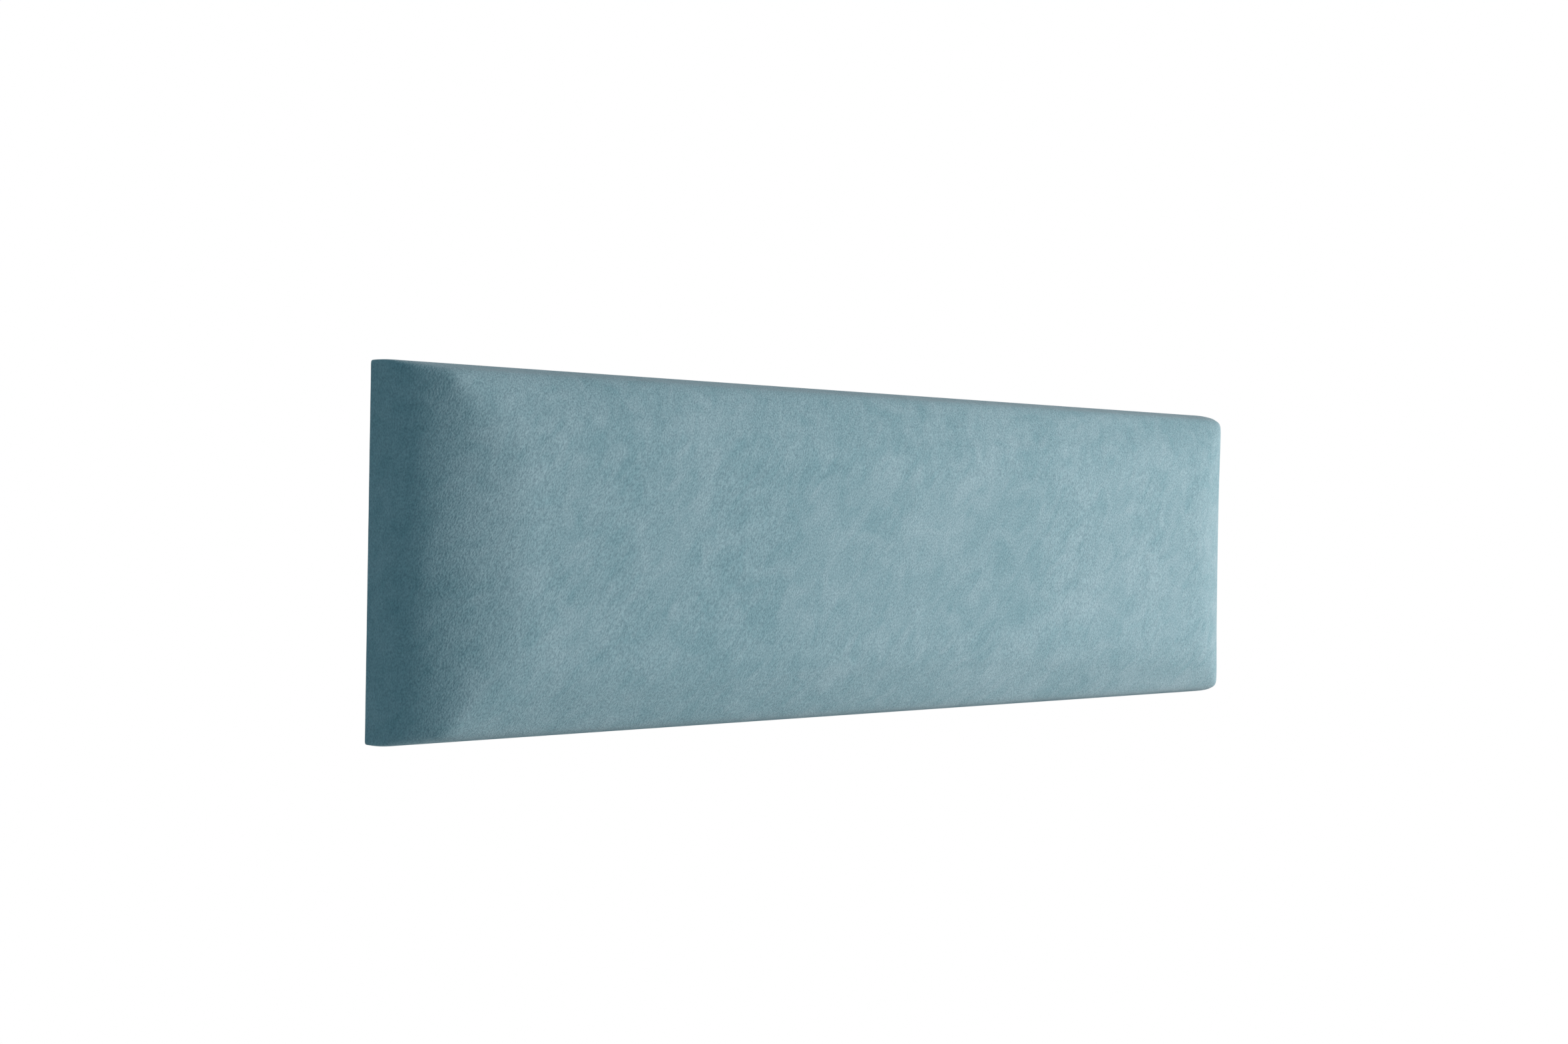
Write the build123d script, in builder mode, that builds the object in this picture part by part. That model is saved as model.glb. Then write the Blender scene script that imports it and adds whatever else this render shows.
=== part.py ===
"""Upholstered wall panel, hung on a pair of interlocking rails.

A velvet cover is drawn over wadding and two layers of foam on a board, turned back and stapled behind.
The board's rail hooks down behind a rail on the wall, so the whole pad lifts off.

Frame: X runs along the panel, Z is up, the wall is the plane Y = 0 and the padded face looks to -Y.
The origin is midway between the wall rail's two screw holes, on the wall. Millimetres.
"""

import os
from math import cos, radians, sin, tan

from build123d import *

os.makedirs("parts", exist_ok=True)

# Pad, over the finished cover
pad_length = 700.0
pad_height = 200.0
pad_depth = 62.0

# Layers of the pad, from the outside in
cover_t = 1.0
wadding_t = 3.0
layer_gap = 0.3  # between curved layers, which touch only lightly
firm_foam_t = 20.0
board_t = 12.0
board_corner_r = 3.0
board_edge_r = 1.5

# Rounding of the pad. A shallow pad shrinks its radii, to leave this much of the leaning side
least_side = 1.0

# The two short ends: angles are in degrees, between the surface and the wall
end_lean = 10.0  # how far the foam's side leans in above the board, from square
end_shoulder_r = 45.0
end_brow_angle = 27.0
end_brow_r = 110.0
end_crown_angle = 1.0

# The two long edges
edge_lean = 7.5
edge_shoulder_r = 10.0
edge_brow_angle = 33.0
edge_brow_r = 98.0
edge_crown_angle = 0.7
edge_crown_over = 0.5  # how far its crown would clear the crown of the length, which is the one that shows

# Cover turned back behind the board, and the dust cover over its raw edge
turn_in_w = 36.0
dust_cover_t = 0.4
dust_cover_margin = 10.0

# Staples
staple_w = 10.0
staple_wire = 0.6
staple_leg = 6.0
cover_staple_pitch = 22.0
cover_staple_inset = 24.0
dust_staple_pitch = 42.0
dust_staple_inset = 15.0
corner_clear = 20.0  # from the end of a short row to the long row past it

# Hanging rails: one extrusion, used upright on the wall and upside down on the board
rail_length = 420.0
rail_t = 2.0
rail_lip = 10.0
rail_flange = 26.0
rail_clear = 0.3  # on each side of a hooked lip
rail_edge_r = 0.3
liner_t = 1.0
rail_margin = 8.0  # from the top of the panel's rail to the turned-in cover

# Screws through the panel's rail and its bumpers, and holes for the wall's screws
wall_hole_r = 2.5
wall_hole_spacing = 320.0
rail_screw_count = 4
rail_screw_spacing = 120.0
rail_screw_r = 2.0
rail_screw_head_r = 3.9
rail_screw_head_h = 2.4
bumper_screw_r = 1.75
bumper_screw_head_r = 3.4
bumper_screw_head_h = 2.1
screw_length = 11.0  # under the head
screw_tip = 2.5
screw_hole_clear = 0.25
pilot_share = 0.75  # pilot hole's radius over the screw's
head_rim_share = 0.5  # straight rim over the whole height of a head
recess_share = 0.6  # cross recess over the head's width
recess_w = 1.0
recess_depth = 1.2

# Bumpers that hold the lower edge off the wall
bumper_r = 11.0
bumper_foot_r = 9.5
bumper_margin = 5.0  # from the turned-in cover below
bumper_side_margin = 23.0  # from the turned-in cover at the end
bumper_head_clear = 0.4

# Worked out from the sizes above
rail_slot = rail_t + 2 * rail_clear
seat_y = -(rail_clear + rail_t + rail_slot)  # the plane that the panel's rail and bumpers are screwed to
standoff = -seat_y - (cover_t - dust_cover_t)  # from the wall to the back of the turned-in cover
board_front = cover_t + board_t
firm_front = board_front + firm_foam_t
hole_to_web = (rail_flange + rail_t) / 2
wall_web_z = hole_to_web
panel_web_z = wall_web_z + liner_t + rail_lip
rail_screw_z = panel_web_z + hole_to_web
window_length = pad_length - 2 * turn_in_w
window_height = pad_height - 2 * turn_in_w
pad_drop = window_height / 2 - rail_margin - panel_web_z - rail_flange  # middle of the pad below the origin
bumper_z = -pad_drop - window_height / 2 + bumper_margin + bumper_r
bumper_spacing = window_length - 2 * (bumper_side_margin + bumper_r)
board_inset = cover_t + wadding_t + 2 * layer_gap

# Planes through the pad's middle, on the back of the turned-in cover. depth_plane is offset into the pad
pad_origin = (0, -standoff, -pad_drop)
length_plane = Plane(origin=pad_origin, x_dir=(1, 0, 0), z_dir=(0, 0, -1))
height_plane = Plane(origin=pad_origin, x_dir=(0, 0, 1), z_dir=(1, 0, 0))
depth_plane = Plane(origin=pad_origin, x_dir=(1, 0, 0), z_dir=(0, -1, 0))

# Planes on the hardware's seats
seat_plane = Plane(origin=(0, seat_y, 0), x_dir=(1, 0, 0), z_dir=(0, -1, 0))
wall_plane = Plane(origin=(0, 0, 0), x_dir=(1, 0, 0), z_dir=(0, -1, 0))
wall_rail_plane = Plane(origin=(0, 0, wall_web_z), x_dir=(0, -1, 0), z_dir=(-1, 0, 0))
panel_rail_plane = Plane(origin=(0, seat_y, panel_web_z), x_dir=(0, 1, 0), z_dir=(-1, 0, 0))


def pad_profile(half_width, depth, lean, shoulder_r, brow_angle, brow_r, crown_angle, inset, back):
    """Closed section of the pad, drawn in by inset all round: X across, Y into the room from depth back."""
    shoulder_angle = 90 - lean
    across = brow_r * (sin(radians(brow_angle)) - sin(radians(crown_angle)))
    across += shoulder_r * (sin(radians(shoulder_angle)) - sin(radians(brow_angle)))
    rise = brow_r * (cos(radians(crown_angle)) - cos(radians(brow_angle)))
    rise += shoulder_r * (cos(radians(brow_angle)) - cos(radians(shoulder_angle)))
    room = depth - board_front - least_side - half_width * tan(radians(crown_angle / 2))
    shrink = min(1, room / rise)
    shoulder_r, brow_r, across, rise = (shrink * size for size in (shoulder_r, brow_r, across, rise))
    straight = depth - board_front - rise  # left for the leaning side and the crown together
    crown_half = half_width - across - straight * tan(radians(lean))
    crown_half /= 1 - tan(radians(lean)) * tan(radians(crown_angle / 2))
    side_rise = straight - crown_half * tan(radians(crown_angle / 2))
    crown_r = crown_half / sin(radians(crown_angle))
    # the foot of the leaning side, and its top, moved square to the surface by the inset
    foot = (half_width - inset, board_front - inset * tan(radians(lean / 2)))
    side_top = (
        half_width - side_rise * tan(radians(lean)) - inset * cos(radians(lean)),
        board_front + side_rise - inset * sin(radians(lean)),
    )
    with BuildSketch() as profile:
        with BuildLine():
            Line((half_width - inset, back), foot)
            side = Line(foot, side_top)
            shoulder = JernArc(side @ 1, side % 1, shoulder_r - inset, shoulder_angle - brow_angle)
            brow = JernArc(shoulder @ 1, shoulder % 1, brow_r - inset, brow_angle - crown_angle)
            JernArc(brow @ 1, brow % 1, crown_r - inset, crown_angle)
            mirror(about=Plane.YZ)
            Line((inset - half_width, back), (half_width - inset, back))
        make_face()
    return profile.sketch


def pad_block(inset, back):
    """Solid that the long and the short section have in common."""
    ends = (end_lean, end_shoulder_r, end_brow_angle, end_brow_r, end_crown_angle)
    edges = (edge_lean, edge_shoulder_r, edge_brow_angle, edge_brow_r, edge_crown_angle)
    along = pad_profile(pad_length / 2, pad_depth, *ends, inset, back)
    upright = pad_profile(pad_height / 2, pad_depth + edge_crown_over, *edges, inset, back)
    with BuildPart() as block:
        with BuildSketch(length_plane):
            add(along)
        extrude(amount=pad_height, both=True)
        with BuildSketch(height_plane):
            add(upright)
        extrude(amount=pad_length, both=True, mode=Mode.INTERSECT)
    return block.part


def pan_screw(shank_r, head_r, head_h):
    """Pan-head screw with a cross recess. Z = 0 is under the head, and the shank runs down to -Z."""
    with BuildPart() as screw:
        with BuildSketch(Plane.XZ):
            with BuildLine():
                Polyline(
                    (0, head_h),
                    (0, -screw_length),
                    (shank_r, screw_tip - screw_length),
                    (shank_r, 0),
                    (head_r, 0),
                    (head_r, head_h * head_rim_share),
                )
                TangentArc((0, head_h), (head_r, head_h * head_rim_share), tangent=(1, 0))
            make_face()
        revolve(axis=Axis.Z)
        with BuildSketch(Plane.XY.offset(head_h)):
            Rectangle(2 * head_r * recess_share, recess_w)
            Rectangle(recess_w, 2 * head_r * recess_share)
        extrude(amount=-recess_depth, mode=Mode.SUBTRACT)
    return screw.part


def staple():
    """One staple. Z = 0 is under its crown, and its legs run up to +Z."""
    with BuildPart() as wire:
        with BuildSketch(Plane.XZ):
            with Locations((0, -staple_wire / 2)):
                Rectangle(staple_w, staple_wire)
            with Locations((0, staple_leg / 2)):
                with GridLocations(staple_w - staple_wire, staple_leg, 2, 1):
                    Rectangle(staple_wire, staple_leg)
        extrude(amount=staple_wire / 2, both=True)
    return wire.part


def staples_along(edge, inset, pitch):
    """How many staples fit a row beside an edge of this length, clear of the rows round the corners."""
    return int((edge - 2 * (inset + corner_clear)) // pitch) + 1


def rail_profile():
    """Section of the hanging rail: X out from its seat, Y towards its lip from the bottom of the hook."""
    with BuildSketch() as profile:
        with BuildLine():
            Polyline(
                (0, -rail_flange),
                (0, 0),
                (rail_slot, 0),
                (rail_slot, rail_lip),
                (rail_slot + rail_t, rail_lip),
                (rail_slot + rail_t, -rail_t),
                (rail_t, -rail_t),
                (rail_t, -rail_flange),
                close=True,
            )
        make_face()
        fillet(profile.vertices(), radius=rail_edge_r)
    return profile.sketch


cover_outside = pad_block(inset=0, back=0)
cover_inside = pad_block(inset=cover_t, back=cover_t)
wadding_outside = pad_block(inset=cover_t + layer_gap, back=cover_t)
wadding_inside = pad_block(inset=cover_t + layer_gap + wadding_t, back=0)
foam_block = pad_block(inset=board_inset, back=cover_t)
staple_shape = staple()
rail_section = rail_profile()
rail_screw = pan_screw(rail_screw_r, rail_screw_head_r, rail_screw_head_h)
bumper_screw = pan_screw(bumper_screw_r, bumper_screw_head_r, bumper_screw_head_h)

# Board: rounded corners, and eased front edges where the cover pulls over them
with BuildPart() as backing_board:
    with BuildSketch(depth_plane.offset(cover_t)):
        RectangleRounded(pad_length - 2 * board_inset, pad_height - 2 * board_inset, board_corner_r)
    extrude(amount=board_t)
    fillet(backing_board.faces().sort_by(Axis.Y)[0].edges(), radius=board_edge_r)
    with BuildSketch(seat_plane):
        with Locations((0, rail_screw_z)):
            with GridLocations(rail_screw_spacing, 0, rail_screw_count, 1):
                Circle(rail_screw_r * pilot_share)
        with Locations((0, bumper_z)):
            with GridLocations(bumper_spacing, 0, 2, 1):
                Circle(bumper_screw_r * pilot_share)
    extrude(amount=screw_length, mode=Mode.SUBTRACT)
backing_board.part.label = "backing_board"
export_step(backing_board.part, "parts/backing_board.step")

# Firm foam, glued to the board
with BuildPart() as firm_foam:
    add(foam_block)
    split(bisect_by=depth_plane.offset(board_front), keep=Keep.TOP)
    split(bisect_by=depth_plane.offset(firm_front), keep=Keep.BOTTOM)
firm_foam.part.label = "firm_foam"
export_step(firm_foam.part, "parts/firm_foam.step")

# Soft foam, glued to the firm foam: it takes the crown and the rounded edges
with BuildPart() as soft_foam:
    add(foam_block)
    split(bisect_by=depth_plane.offset(firm_front), keep=Keep.TOP)
soft_foam.part.label = "soft_foam"
export_step(soft_foam.part, "parts/soft_foam.step")

# Wadding over the foam's face and down its sides to the back of the board
with BuildPart() as wadding:
    add(wadding_outside)
    add(wadding_inside, mode=Mode.SUBTRACT)
wadding.part.label = "wadding"
export_step(wadding.part, "parts/wadding.step")

# Velvet cover, open behind inside its turned-back border
with BuildPart() as velvet_cover:
    add(cover_outside)
    add(cover_inside, mode=Mode.SUBTRACT)
    with BuildSketch(depth_plane):
        Rectangle(window_length, window_height)
    extrude(amount=cover_t, mode=Mode.SUBTRACT)
velvet_cover.part.label = "velvet_cover"
export_step(velvet_cover.part, "parts/velvet_cover.step")

# One row of staples along each edge, bedded in the turned-back cover
row_x = pad_length / 2 - cover_staple_inset
row_z = pad_height / 2 - cover_staple_inset
for side, x, z, edge, turn in (
    ("top", 0, row_z, pad_length, 0),
    ("bottom", 0, -row_z, pad_length, 0),
    ("left", -row_x, 0, pad_height, 90),
    ("right", row_x, 0, pad_height, 90),
):
    count = staples_along(edge, cover_staple_inset, cover_staple_pitch)
    with BuildPart() as cover_staples:
        with Locations(depth_plane.offset(staple_wire) * Location((x, z, 0), (0, 0, turn))):
            with GridLocations(cover_staple_pitch, 0, count, 1):
                add(staple_shape)
    cover_staples.part.label = f"cover_staples_{side}"
    export_step(cover_staples.part, f"parts/cover_staples_{side}.step")

# Dust cover: its rim lies on the turned-back cover, and its middle sinks to the board inside that
with BuildPart() as dust_cover:
    with BuildSketch(depth_plane):
        Rectangle(pad_length - 2 * dust_cover_margin, pad_height - 2 * dust_cover_margin)
    extrude(amount=-dust_cover_t)
    with BuildSketch(depth_plane):
        Rectangle(window_length, window_height)
    extrude(amount=cover_t)
    with BuildSketch(seat_plane):
        with Locations((0, -pad_drop)):
            Rectangle(window_length - 2 * dust_cover_t, window_height - 2 * dust_cover_t)
    extrude(amount=-cover_t, mode=Mode.SUBTRACT)
    with BuildSketch(seat_plane):
        with Locations((0, rail_screw_z)):
            with GridLocations(rail_screw_spacing, 0, rail_screw_count, 1):
                Circle(rail_screw_r + screw_hole_clear)
        with Locations((0, bumper_z)):
            with GridLocations(bumper_spacing, 0, 2, 1):
                Circle(bumper_screw_r + screw_hole_clear)
    extrude(amount=dust_cover_t, mode=Mode.SUBTRACT)
dust_cover.part.label = "dust_cover"
export_step(dust_cover.part, "parts/dust_cover.step")

# Staples through the dust cover's rim
row_x = pad_length / 2 - dust_staple_inset
row_z = pad_height / 2 - dust_staple_inset
with BuildPart() as dust_cover_staples:
    for x, z, edge, turn in (
        (0, row_z, pad_length, 0),
        (0, -row_z, pad_length, 0),
        (-row_x, 0, pad_height, 90),
        (row_x, 0, pad_height, 90),
    ):
        count = staples_along(edge, dust_staple_inset, dust_staple_pitch)
        with Locations(depth_plane.offset(-dust_cover_t) * Location((x, z, 0), (0, 0, turn))):
            with GridLocations(dust_staple_pitch, 0, count, 1):
                add(staple_shape)
dust_cover_staples.part.label = "dust_cover_staples"
export_step(dust_cover_staples.part, "parts/dust_cover_staples.step")

# Wall rail: lip upwards, two holes for the wall's own screws
with BuildPart() as wall_rail:
    with BuildSketch(wall_rail_plane):
        add(rail_section)
    extrude(amount=rail_length / 2, both=True)
    with BuildSketch(wall_plane):
        with GridLocations(wall_hole_spacing, 0, 2, 1):
            Circle(wall_hole_r)
    extrude(amount=rail_t, mode=Mode.SUBTRACT)
wall_rail.part.label = "wall_rail"
export_step(wall_rail.part, "parts/wall_rail.step")

# Soft strip in the wall rail's hook, which the panel's rail comes down on
with BuildPart() as rail_liner:
    with BuildSketch(Plane.XY.offset(wall_web_z)):
        with Locations((0, -rail_slot / 2)):
            Rectangle(rail_length, rail_t)
    extrude(amount=liner_t)
rail_liner.part.label = "rail_liner"
export_step(rail_liner.part, "parts/rail_liner.step")

# Panel rail: the same extrusion upside down, screwed through the dust cover to the board
with BuildPart() as panel_rail:
    with BuildSketch(panel_rail_plane):
        add(rail_section)
    extrude(amount=rail_length / 2, both=True)
    with BuildSketch(seat_plane):
        with Locations((0, rail_screw_z)):
            with GridLocations(rail_screw_spacing, 0, rail_screw_count, 1):
                Circle(rail_screw_r + screw_hole_clear)
    extrude(amount=-rail_t, mode=Mode.SUBTRACT)
panel_rail.part.label = "panel_rail"
export_step(panel_rail.part, "parts/panel_rail.step")

with BuildPart() as panel_rail_screws:
    with Locations(Plane(origin=(0, seat_y + rail_t, rail_screw_z), x_dir=(1, 0, 0), z_dir=(0, 1, 0))):
        with GridLocations(rail_screw_spacing, 0, rail_screw_count, 1):
            add(rail_screw)
panel_rail_screws.part.label = "panel_rail_screws"
export_step(panel_rail_screws.part, "parts/panel_rail_screws.step")

# Bumpers: tapered rubber discs, their screws sunk below the face that meets the wall
sink_depth = bumper_screw_head_h + bumper_head_clear
for side, x in (("left", -bumper_spacing / 2), ("right", bumper_spacing / 2)):
    with BuildPart(Plane(origin=(x, seat_y, bumper_z), z_dir=(0, 1, 0))) as bumper:
        Cone(bumper_r, bumper_foot_r, -seat_y, align=(Align.CENTER, Align.CENTER, Align.MIN))
        with Locations((0, 0, -seat_y)):
            CounterBoreHole(
                radius=bumper_screw_r + screw_hole_clear,
                counter_bore_radius=bumper_screw_head_r + bumper_head_clear,
                counter_bore_depth=sink_depth,
            )
    bumper.part.label = f"bumper_{side}"
    export_step(bumper.part, f"parts/bumper_{side}.step")

with BuildPart() as bumper_screws:
    with Locations(Plane(origin=(0, -sink_depth, bumper_z), x_dir=(1, 0, 0), z_dir=(0, 1, 0))):
        with GridLocations(bumper_spacing, 0, 2, 1):
            add(bumper_screw)
bumper_screws.part.label = "bumper_screws"
export_step(bumper_screws.part, "parts/bumper_screws.step")
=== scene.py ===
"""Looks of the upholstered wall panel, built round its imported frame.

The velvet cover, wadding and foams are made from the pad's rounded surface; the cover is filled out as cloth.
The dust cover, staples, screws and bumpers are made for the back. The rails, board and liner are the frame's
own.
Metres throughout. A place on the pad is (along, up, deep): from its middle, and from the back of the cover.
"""

import math

import bmesh
import bpy
import numpy as np
from mathutils import Matrix, Vector


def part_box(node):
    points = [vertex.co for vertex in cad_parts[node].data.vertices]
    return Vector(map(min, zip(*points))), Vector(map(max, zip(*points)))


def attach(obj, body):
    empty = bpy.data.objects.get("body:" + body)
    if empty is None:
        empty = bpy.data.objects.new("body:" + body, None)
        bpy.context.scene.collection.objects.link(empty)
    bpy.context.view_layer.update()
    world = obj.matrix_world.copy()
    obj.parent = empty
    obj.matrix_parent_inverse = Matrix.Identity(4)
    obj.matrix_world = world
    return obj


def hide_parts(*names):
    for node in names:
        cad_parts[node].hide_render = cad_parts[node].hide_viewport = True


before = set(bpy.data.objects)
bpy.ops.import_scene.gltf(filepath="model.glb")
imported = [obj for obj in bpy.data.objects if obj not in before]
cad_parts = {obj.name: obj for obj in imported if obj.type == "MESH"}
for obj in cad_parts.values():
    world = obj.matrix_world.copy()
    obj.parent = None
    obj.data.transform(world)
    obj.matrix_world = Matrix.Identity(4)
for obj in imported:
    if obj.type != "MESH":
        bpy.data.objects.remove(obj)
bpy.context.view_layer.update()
scene = bpy.context.scene
scene.view_settings.view_transform = "Standard"

MM = 0.001

# ---- sizes, from the frame

cover_low, cover_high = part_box("velvet_cover")
board_low, board_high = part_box("backing_board")
dust_low, dust_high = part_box("dust_cover")
panel_rail_low, panel_rail_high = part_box("panel_rail")
wall_rail_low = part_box("wall_rail")[0]
bumper_low, bumper_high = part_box("bumper_right")

half_length = (cover_high.x - cover_low.x) / 2
half_height = (cover_high.z - cover_low.z) / 2
middle_z = (cover_high.z + cover_low.z) / 2
back_y = cover_high.y
pad_depth = back_y - cover_low.y
cover_t = back_y - board_high.y
board_front = back_y - board_low.y
seat_y = panel_rail_low.y

# Rounding of the pad's ends and long edges: how far the sides lean, and the surface's angles to the wall
END = {"lean": 4.8, "shoulder_r": 33 * MM, "brow_angle": 40, "brow_r": 85 * MM, "crown_angle": 1}
EDGE = {"lean": 7.5, "shoulder_r": 10 * MM, "brow_angle": 33, "brow_r": 98 * MM, "crown_angle": 0.7}
edge_crown_over = 0.5 * MM
crown_blend = 1.2 * MM
corner_back_r = 1.0 * MM
corner_front_r = 12 * MM
crown_corner_r = 70 * MM
crown_corner_from = 46 * MM
corner_fullness = 5 * MM
fullness_from = 36 * MM
fullness_reach = 75 * MM
core_inset = 60 * MM
core_deep = 20 * MM

# Grid of the cover
steps_x, steps_z = 98, 32
around = 2 * (steps_x + steps_z)
corner_steps = (0, 1.2 * MM, 3.2 * MM)
corner_step_last = 3.6 * MM
loop_spacing = 5.0 * MM
grid_half_x = half_length - 80 * MM

# Cloth layers
back_edge_r = 1.2 * MM
turn_in_w = 36 * MM
layer_gap = 0.3 * MM
wadding_t = 3.0 * MM
firm_foam_t = 20 * MM
dust_cover_t = 0.4 * MM
staple_pitch = 22 * MM
staple_inset = 24 * MM
dust_staple_pitch = 42 * MM
dust_staple_inset = 15 * MM


def smoothstep(x):
    x = np.clip(x, 0.0, 1.0)
    return x * x * (3 - 2 * x)


# ---- the pad's surface


class Section:
    """A rounded section of the pad, from arcs that meet smoothly."""

    def __init__(self, half_width, depth, lean, shoulder_r, brow_angle, brow_r, crown_angle):
        self.half_width = half_width
        self.lean = math.radians(lean)
        crown, brow = math.radians(crown_angle), math.radians(brow_angle)
        shoulder = math.pi / 2 - self.lean
        across = brow_r * (math.sin(brow) - math.sin(crown))
        across += shoulder_r * (math.sin(shoulder) - math.sin(brow))
        rise = brow_r * (math.cos(crown) - math.cos(brow))
        rise += shoulder_r * (math.cos(brow) - math.cos(shoulder))
        straight = depth - board_front - rise
        crown_half = half_width - across - straight * math.tan(self.lean)
        crown_half /= 1 - math.tan(self.lean) * math.tan(crown / 2)
        self.arcs = []
        start, centre, radius = 0.0, np.array([0.0, depth]), 0.0
        arcs = ((crown, crown_half / math.sin(crown)), (brow, brow_r), (shoulder, shoulder_r))
        for end, next_radius in arcs:
            normal = np.array([math.sin(start), math.cos(start)])
            centre = centre + normal * (radius - next_radius)
            radius = next_radius
            self.arcs.append((centre, radius, start, end))
            start = end

    def distance(self, across, deep):
        """How far points are outside the section, negative inside, and the turn of its surface there."""
        past = across - self.half_width
        away = np.maximum(past, past * math.cos(self.lean) + (deep - board_front) * math.sin(self.lean))
        turn = np.full_like(away, math.pi / 2 - self.lean)
        for centre, radius, start, end in reversed(self.arcs):
            angle = np.arctan2(across - centre[0], deep - centre[1])
            on_arc = (angle >= start) & (angle < end)
            away = np.where(on_arc, np.hypot(across - centre[0], deep - centre[1]) - radius, away)
            turn = np.where(on_arc, angle, turn)
        return away, turn

    def outline(self, count=2000):
        """Points (across, deep) down the section, from its middle to the back, closely spaced."""
        points = []
        for centre, radius, start, end in self.arcs:
            angles = np.linspace(start, end, count)
            points.append(centre + radius * np.stack([np.sin(angles), np.cos(angles)], 1))
        points.append(np.array([[self.half_width, board_front], [self.half_width, 0.0]]))
        return np.concatenate(points)


ends = Section(half_length, pad_depth, **END)
edges = Section(half_height, pad_depth + edge_crown_over, **EDGE)


def pad_distance(places):
    """How far places are outside the pad: its sections meet in a rounded mitre, fuller at the corners."""
    deep = places[:, 2]
    filled = smoothstep((np.abs(places[:, 1]) - half_height) / fullness_reach + 1)
    filled *= smoothstep((deep - fullness_from) / (pad_depth - fullness_from))
    end_away, end_turn = ends.distance(np.abs(places[:, 0]) - corner_fullness * filled, deep)
    edge_away, edge_turn = edges.distance(np.abs(places[:, 1]), deep)
    mitre = np.arccos(np.clip(np.cos(end_turn) * np.cos(edge_turn), -1, 1))
    radius = corner_back_r + (corner_front_r - corner_back_r) * smoothstep(deep / pad_depth)
    radius += crown_corner_r * smoothstep((deep - crown_corner_from) / (pad_depth - crown_corner_from))
    width = np.maximum(crown_blend, 4 * radius * (1 - np.cos(mitre / 2)))
    near = np.maximum(width - np.abs(end_away - edge_away), 0) / width
    return np.maximum(end_away, edge_away) + near**2 * width / 4


def onto_pad(places):
    """Moves places near the pad's surface onto it, away from a core inside the pad."""
    core = places.copy()
    core[:, 0] = np.clip(core[:, 0], -half_length + core_inset, half_length - core_inset)
    core[:, 1] = np.clip(core[:, 1], -half_height + core_inset, half_height - core_inset)
    core[:, 2] = np.minimum(core[:, 2], core_deep)
    low, high = np.full(len(places), 0.4), np.full(len(places), 1.04)
    for _ in range(30):
        middle = (low + high) / 2
        outside = pad_distance(core + (places - core) * middle[:, None]) > 0
        high = np.where(outside, middle, high)
        low = np.where(outside, low, middle)
    return core + (places - core) * low[:, None]


# ---- meshes


def spaced(half, steps):
    """Places from -half to half, close together near both ends."""
    even = half - corner_steps[-1] - corner_step_last
    middle = np.linspace(-even, even, steps + 1 - 2 * len(corner_steps))
    return np.concatenate([np.array(corner_steps) - half, middle, half - np.array(corner_steps)[::-1]])


def ring_places(half_x, half_z, deep):
    """Places round a rectangle, from its lower left corner and anticlockwise as seen from the front."""
    x, z = spaced(half_x, steps_x), spaced(half_z, steps_z)
    across = np.concatenate([x[:-1], np.full(steps_z, half_x), x[:0:-1], np.full(steps_z, -half_x)])
    up = np.concatenate([np.full(steps_x, -half_z), z[:-1], np.full(steps_x, half_z), z[:0:-1]])
    return np.stack([across, up, np.full_like(across, deep)], 1)


def to_frame(places):
    """Places on the pad, in the frame."""
    return np.stack([places[:, 0], back_y - places[:, 2], places[:, 1] + middle_z], 1)


def mesh_object(name, vertices, faces, smooth=True):
    mesh = bpy.data.meshes.new(name)
    mesh.from_pydata([tuple(v) for v in vertices], [], [tuple(f) for f in faces])
    mesh.update()
    if smooth:
        mesh.shade_smooth()
    made = bpy.data.objects.new(name, mesh)
    scene.collection.objects.link(made)
    return made


def grid_faces(number):
    """Faces between neighbours in a grid of point numbers."""
    faces = []
    for low, high in zip(number[:-1], number[1:]):
        faces += [tuple(map(int, face)) for face in zip(low[:-1], low[1:], high[1:], high[:-1])]
    return faces


def ring_faces(count, size, closed=False):
    """Faces between rings of points that follow each other, and from the last to the first if closed."""
    number = np.arange(count * size).reshape(count, size)
    if closed:
        number = np.concatenate([number, number[:1]])
    return grid_faces(np.concatenate([number, number[:, :1]], 1))


def turns(count, shift=0.0):
    """Angles evenly round a circle."""
    return [2 * math.pi * (step + shift) / count for step in range(count)]


def set_material(piece, material):
    piece.data.materials.clear()
    piece.data.materials.append(material)


def with_bmesh(piece, work):
    """Opens a piece's mesh, lets work change it, and puts it back."""
    mesh = bmesh.new()
    mesh.from_mesh(piece.data)
    work(mesh)
    mesh.to_mesh(piece.data)
    mesh.free()


def face_out(piece):
    with_bmesh(piece, lambda mesh: bmesh.ops.recalc_face_normals(mesh, faces=mesh.faces))


def vectors(items, name):
    values = np.zeros(len(items) * 3, np.float32)
    items.foreach_get(name, values)
    return values.reshape(-1, 3).astype(float)


def points_of(mesh):
    return vectors(mesh.vertices, "co")


def normals_of(mesh):
    return vectors(mesh.vertex_normals, "vector")


def set_points(mesh, places):
    mesh.vertices.foreach_set("co", places.astype(np.float32).ravel())
    mesh.update()


def settle(piece):
    """Turns a piece's modifiers into its own plain mesh."""
    evaluated = piece.evaluated_get(bpy.context.evaluated_depsgraph_get())
    mesh = bpy.data.meshes.new_from_object(evaluated)
    old = piece.data
    piece.modifiers.clear()
    piece.data = mesh
    mesh.name = piece.name
    bpy.data.meshes.remove(old)
    return piece


def subdivide(piece):
    finer = piece.modifiers.new("finer", "SUBSURF")
    finer.levels = finer.render_levels = 1
    finer.boundary_smooth = "PRESERVE_CORNERS"
    return settle(piece)


def thicken(piece, thickness):
    wall = piece.modifiers.new("wall", "SOLIDIFY")
    wall.thickness = thickness
    wall.offset = -1.0
    return settle(piece)


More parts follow.
